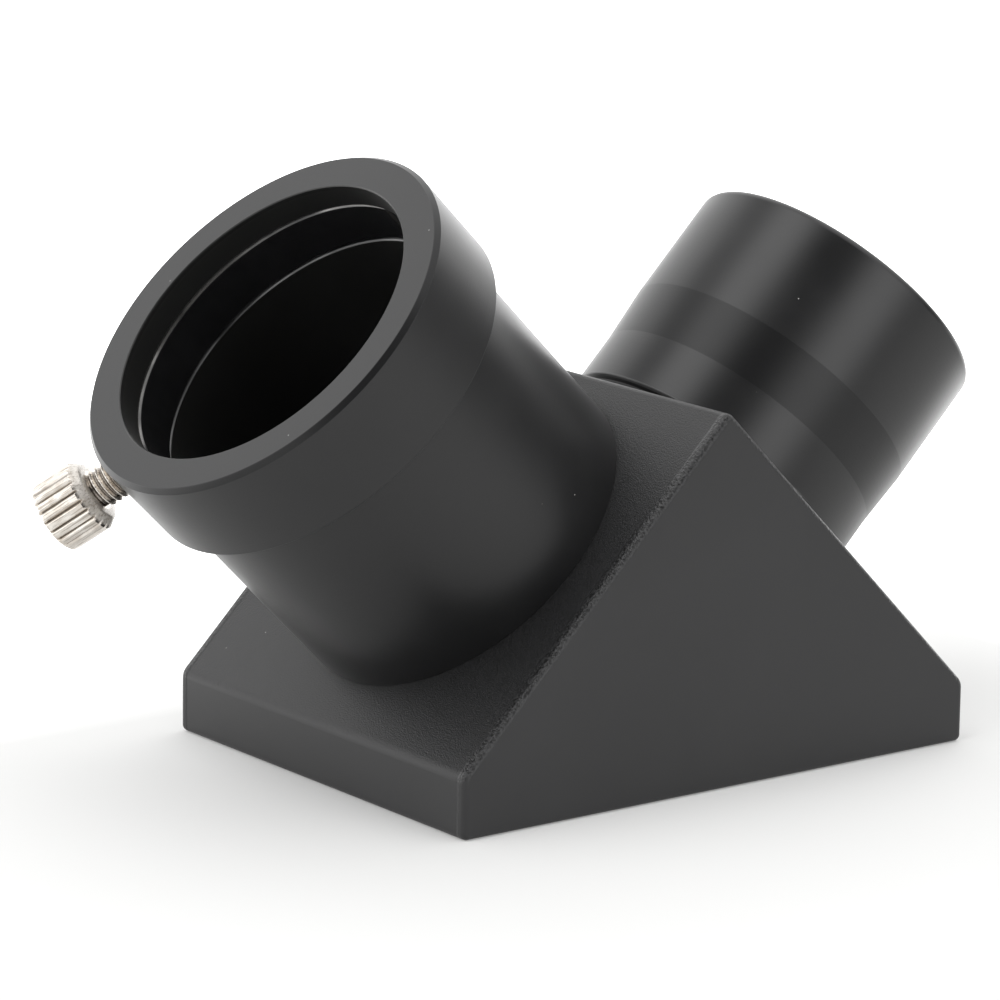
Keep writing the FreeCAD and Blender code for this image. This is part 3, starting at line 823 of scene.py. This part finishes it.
raised = ramp(tree, edge_at, (EDGE_STRIP - 0.22) * MM, (EDGE_STRIP + 0.04) * MM, 1.0, 0.0)
stepped = add(tree, "ShaderNodeBump", {"Height": raised, "Strength": 0.8, "Distance": 0.07 * MM,
                                       "Normal": piled.outputs[0]})
tree.links.new(stepped.outputs[0], bsdf.inputs["Normal"])
coat(frame["nodes"]["housing"], body_black)
print("housing coated; side faces at y = +-%.2f mm" % (housing_high.y / MM))

# %% [markdown]
# ## Metals: nickel plate, blackened bronze, screws and clips
# The thumbscrew is brass under a bright nickel plate, slightly warm and a little worn, with
# painted shade in its grooves. The clamp ring is bronze blackened in a chemical bath, which
# leaves a thin dark skin, with a painted highlight along its edges. The small screws are steel
# with a black oxide skin, and the mirror's clips are bare spring steel strip.

# %% Metals
PATCH = 1.3
RELIEF = 0.03


def plated_metal(name, dark, light, low_rough, high_rough, grain_mm, bump, metallic=1.0):
    """A metal whose colour and roughness wander together in soft patches."""
    material, tree, bsdf = new_material(name, **{"Metallic": metallic})
    place = object_place(tree)
    patches = noise(tree, place, PATCH, 4.0)
    grain = noise(tree, place, grain_mm, 3.0)
    colour = tint(tree, ramp(tree, patches, 0.35, 0.65, 0.0, 1.0), dark, light)
    tree.links.new(colour, bsdf.inputs["Base Color"])
    tree.links.new(ramp(tree, patches, 0.35, 0.65, low_rough, high_rough), bsdf.inputs["Roughness"])
    relief = add(tree, "ShaderNodeBump", {"Height": grain, "Strength": bump, "Distance": RELIEF * MM})
    tree.links.new(relief.outputs[0], bsdf.inputs["Normal"])
    return material


nickel = plated_metal("nickel_plated_brass", "#cdc5bb", "#e9e4dd", 0.14, 0.26, 0.25, 0.3)
bronze = plated_metal("blackened_bronze", "#161617", "#1a1a1b", 0.15, 0.19, 0.3, 0.03, metallic=0.0)
oxide = plated_metal("black_oxide_steel", "#232325", "#303033", 0.30, 0.42, 0.2, 0.2, metallic=0.8)
strip = plated_metal("spring_steel", "#9d9fa3", "#b9bbbf", 0.22, 0.34, 0.25, 0.1)
coat(thumbscrew, nickel)
coat(ring, bronze)
for name, metal in (("cover_screws", oxide), ("clip_screws", oxide), ("mirror_clip_left", strip),
                    ("mirror_clip_right", strip)):
    coat(frame["nodes"][name], metal)

# %% [markdown]
# Use shows on the screw: the knurling wheel leaves fine streaks along the ribs. The knurl's
# grooves and the thread's roots are painted a dark brown, as painted shade. The plate is dull
# on the cone under the head, where it is never handled, so the cone scatters light more than
# it mirrors the black collar. The ring's two edges are painted a pale metal, more in some
# places than in others, as a painted highlight.

# %% Wear and painted shade on the thumbscrew, painted highlight on the ring
STREAK = 0.16
STREAK_STRETCH = 0.93        # 0 leaves the pattern even, 1 draws it out along the screw for ever
GROOVE_SHADE = 0.65
CONE_DULLNESS = 0.75
EDGE_HIGHLIGHT_METAL = 0.9
cone_top = head_foot + HEAD_BEVEL

tree = nickel.node_tree
place = object_place(tree)
radius, along = from_axis(tree, place, screw_origin, screw_axis)
run = add(tree, "ShaderNodeVectorMath", {0: screw_axis, "Scale": product(tree, along, STREAK_STRETCH)},
          operation="SCALE")
squeezed = add(tree, "ShaderNodeVectorMath", {0: place, 1: run.outputs[0]}, operation="SUBTRACT").outputs[0]
streaks = noise(tree, squeezed, STREAK, 3.0)
overlaid(nickel, ramp(tree, streaks, 0.50, 0.62, 0.0, 0.6), "#8a8075")
# Painted shade: the knurl's grooves and the thread's roots are darkened to a dark brown.
in_groove = within(tree, radius, (HEAD_CORE_R - 0.04, HEAD_CORE_R - 0.01),
                   (HEAD_CORE_R + 0.04, HEAD_CORE_R + 0.18))
on_ribs = within(tree, along, (cone_top - 0.25, cone_top), (head_top - 0.5, head_top - 0.3))
in_root = ramp(tree, radius, (SCREW_ROOT_R + 0.04) * MM, (SCREW_ROOT_R + 0.2) * MM, 1.0, 0.0)
groove_shade = arithmetic(tree, "MAXIMUM", product(tree, in_groove, on_ribs), in_root)
overlaid(nickel, product(tree, groove_shade, GROOVE_SHADE), "#4a4037")
below_ribs = ramp(tree, along, (cone_top - 0.3) * MM, (cone_top - 0.1) * MM, 1.0, 0.0)
off_stud = ramp(tree, radius, (SCREW_ROOT_R + 0.3) * MM, (SCREW_ROOT_R + 0.5) * MM, 0.0, 1.0)
on_cone = product(tree, below_ribs, off_stud)
polish = arithmetic(tree, "SUBTRACT", 1.0, product(tree, on_cone, CONE_DULLNESS))
tree.links.new(polish, tree.nodes["Principled BSDF"].inputs["Metallic"])

tree = bronze.node_tree
place = object_place(tree)
ring_foot_spot = holder_foot - screw_axis * RING_OFFSET * MM
radius, _ = from_axis(tree, place, ring_foot_spot, holder_axis)
# Painted highlight: the ring's edges are painted a pale metal, in patches.
on_edge = ramp(tree, radius, (RING_INNER_R + 0.02) * MM, (RING_INNER_R + 0.06) * MM, 0.0, 1.0)
highlight_patches = noise(tree, place, 5.0, 2.0)
edge_highlight = product(tree, on_edge, ramp(tree, highlight_patches, 0.42, 0.62, 0.05, 0.7))
overlaid(bronze, edge_highlight, "#8f8d8b")
tree.links.new(product(tree, edge_highlight, EDGE_HIGHLIGHT_METAL), tree.nodes["Principled BSDF"].inputs["Metallic"])
print("wear laid on", nickel.name, "and", bronze.name)

# %% [markdown]
# ## Mirror, pads, tip, cover and carrier
# The mirror is float glass with a bright film of aluminium on its face: a near-perfect metal
# surface. The pads are cut from sheet rubber and the tip is moulded nylon. The cover and the
# carrier are plain milled plate, anodised matt black so that no stray light leaves them.

# %% Mirror, pads, tip and plates
film = plated_metal("aluminised_glass", "#e9ebec", "#eff1f2", 0.015, 0.03, 0.5, 0.0)
rubber, tree, bsdf = new_material("sheet_rubber", **{"Roughness": 0.85})
crumbs = noise(tree, object_place(tree), 0.3, 4.0)
tree.links.new(tint(tree, crumbs, "#141414", "#242424"), bsdf.inputs["Base Color"])
nylon, tree, bsdf = new_material("natural_nylon", **{"Roughness": 0.4, "Subsurface Weight": 0.2,
                                                     "Subsurface Scale": 0.5 * MM, "IOR": 1.53})
flow = noise(tree, object_place(tree), 0.8, 3.0)
tree.links.new(tint(tree, flow, "#dedacb", "#ece9df"), bsdf.inputs["Base Color"])
plate_black = black_anodised_aluminium("black_anodised_plate", Vector((1, 0, 0)), Vector((0, 0, 0)), 0.5)
for name, finish in (("mirror", film), ("mirror_pad_1", rubber), ("mirror_pad_2", rubber),
                     ("mirror_pad_3", rubber), ("base_cover", plate_black), ("mirror_carrier", plate_black)):
    coat(frame["nodes"][name], finish)
coat(tip, nylon)
print("inner finishes:", film.name, rubber.name, nylon.name, plate_black.name)

# %% [markdown]
# ## Light tent and table
# Small black parts are lit by what they reflect, so the lighting is built round reflections.
# The part stands in an even white tent. The dark gaps in it, one of them round the camera, give
# the tubes their dark stripes and hold back the light on the body. Three brighter panels stand
# in front, high on the left, and low behind on the right. Each gap or panel is a soft patch on
# the sky, given by its direction and its width.

# %% Light tent
def direction(azimuth, elevation):
    """Unit vector; azimuth 0 is towards -Y, and 90 is towards +X."""
    a, e = math.radians(azimuth), math.radians(elevation)
    return Vector((math.sin(a) * math.cos(e), -math.cos(a) * math.cos(e), math.sin(e)))


TENT = 1.65
DARKEST = 0.05
PATCHES = [            # azimuth, elevation, full within, gone beyond (degrees), added brightness
    (-30, 51, 12, 28, -1.6),
    (-37, 12, 8, 24, -0.9),
    (-53, 27, 8, 18, -1.5),
    (31, 0, 8, 20, -1.2),
    (66, 4, 15, 32, -1.45),
    (130, 3, 6, 18, 1.2),
    (6, 22, 8, 17, 1.1),
    (-103, 64, 8, 22, 1.5),
    (-148, 50, 6, 19, -1.0),
]
world = bpy.data.worlds.new("light_tent")
bpy.context.scene.world = world
world.use_nodes = True
tree = world.node_tree
tree.nodes.clear()
towards = add(tree, "ShaderNodeTexCoord").outputs["Generated"]
brightness = TENT
for azimuth, elevation, full, gone, strength in PATCHES:
    alignment = add(tree, "ShaderNodeVectorMath", {0: towards, 1: direction(azimuth, elevation)},
                    operation="DOT_PRODUCT").outputs["Value"]
    patch = add(tree, "ShaderNodeMapRange", {"Value": alignment, "From Min": math.cos(math.radians(gone)),
                                             "From Max": math.cos(math.radians(full)), "To Max": strength},
                interpolation_type="SMOOTHSTEP").outputs[0]
    brightness = arithmetic(tree, "ADD", brightness, patch)
lit = arithmetic(tree, "MAXIMUM", brightness, DARKEST)
sky = add(tree, "ShaderNodeBackground", {"Color": linear("#ffffff"), "Strength": lit})
add(tree, "ShaderNodeOutputWorld", {"Surface": sky.outputs[0]})
print("tent of brightness", TENT, "with", len(PATCHES), "patches")

# %% [markdown]
# The table is one plain pale sheet of opal acrylic, as on a light table. It is lit from below,
# more strongly behind the part and to its right. So the shadow on it is faint, and the far
# sides of the round tubes mirror a very bright floor and fade into it.

# %% Table
FLOOR_HALF = 3.0             # metres
FLOOR_GAP = 0.02
GLOW, FAR_GLOW = 0.20, 1.6

work = bmesh.new()
bmesh.ops.create_grid(work, x_segments=8, y_segments=8, size=FLOOR_HALF)
floor_mesh = bpy.data.meshes.new("table")
work.to_mesh(floor_mesh)
work.free()
table = bpy.data.objects.new("table", floor_mesh)
table.location.z = cad_box[0].z - FLOOR_GAP * MM
bpy.context.scene.collection.objects.link(table)
pale, tree, bsdf = new_material("pale_sheet", **{"Roughness": 0.9, "Specular IOR Level": 0.1})
place = object_place(tree)
tree.links.new(tint(tree, noise(tree, place, 300, 2.0), "#cacac9", "#cececd"), bsdf.inputs["Base Color"])
spot = add(tree, "ShaderNodeSeparateXYZ", {0: place})
right, back = cad_box[1].x, cad_box[1].y
to_right = product(tree, ramp(tree, spot.outputs["X"], right + 15 * MM, right + 60 * MM, 0.0, 1.0),
                   ramp(tree, spot.outputs["Y"], -30 * MM, 10 * MM, 0.0, 1.0))
to_back = ramp(tree, spot.outputs["Y"], back + 5 * MM, back + 65 * MM, 0.0, 1.0)
far_side = arithmetic(tree, "MAXIMUM", to_right, to_back)
tree.links.new(ramp(tree, far_side, 0.0, 1.0, GLOW, FAR_GLOW), bsdf.inputs["Emission Strength"])
bsdf.inputs["Emission Color"].default_value = linear("#ffffff")
floor_mesh.materials.append(pale)
print("table of", 2 * FLOOR_HALF, "m, glowing", GLOW, "to", FAR_GLOW)

view = bpy.context.scene.view_settings
view.view_transform = "Standard"
view.look = "None"
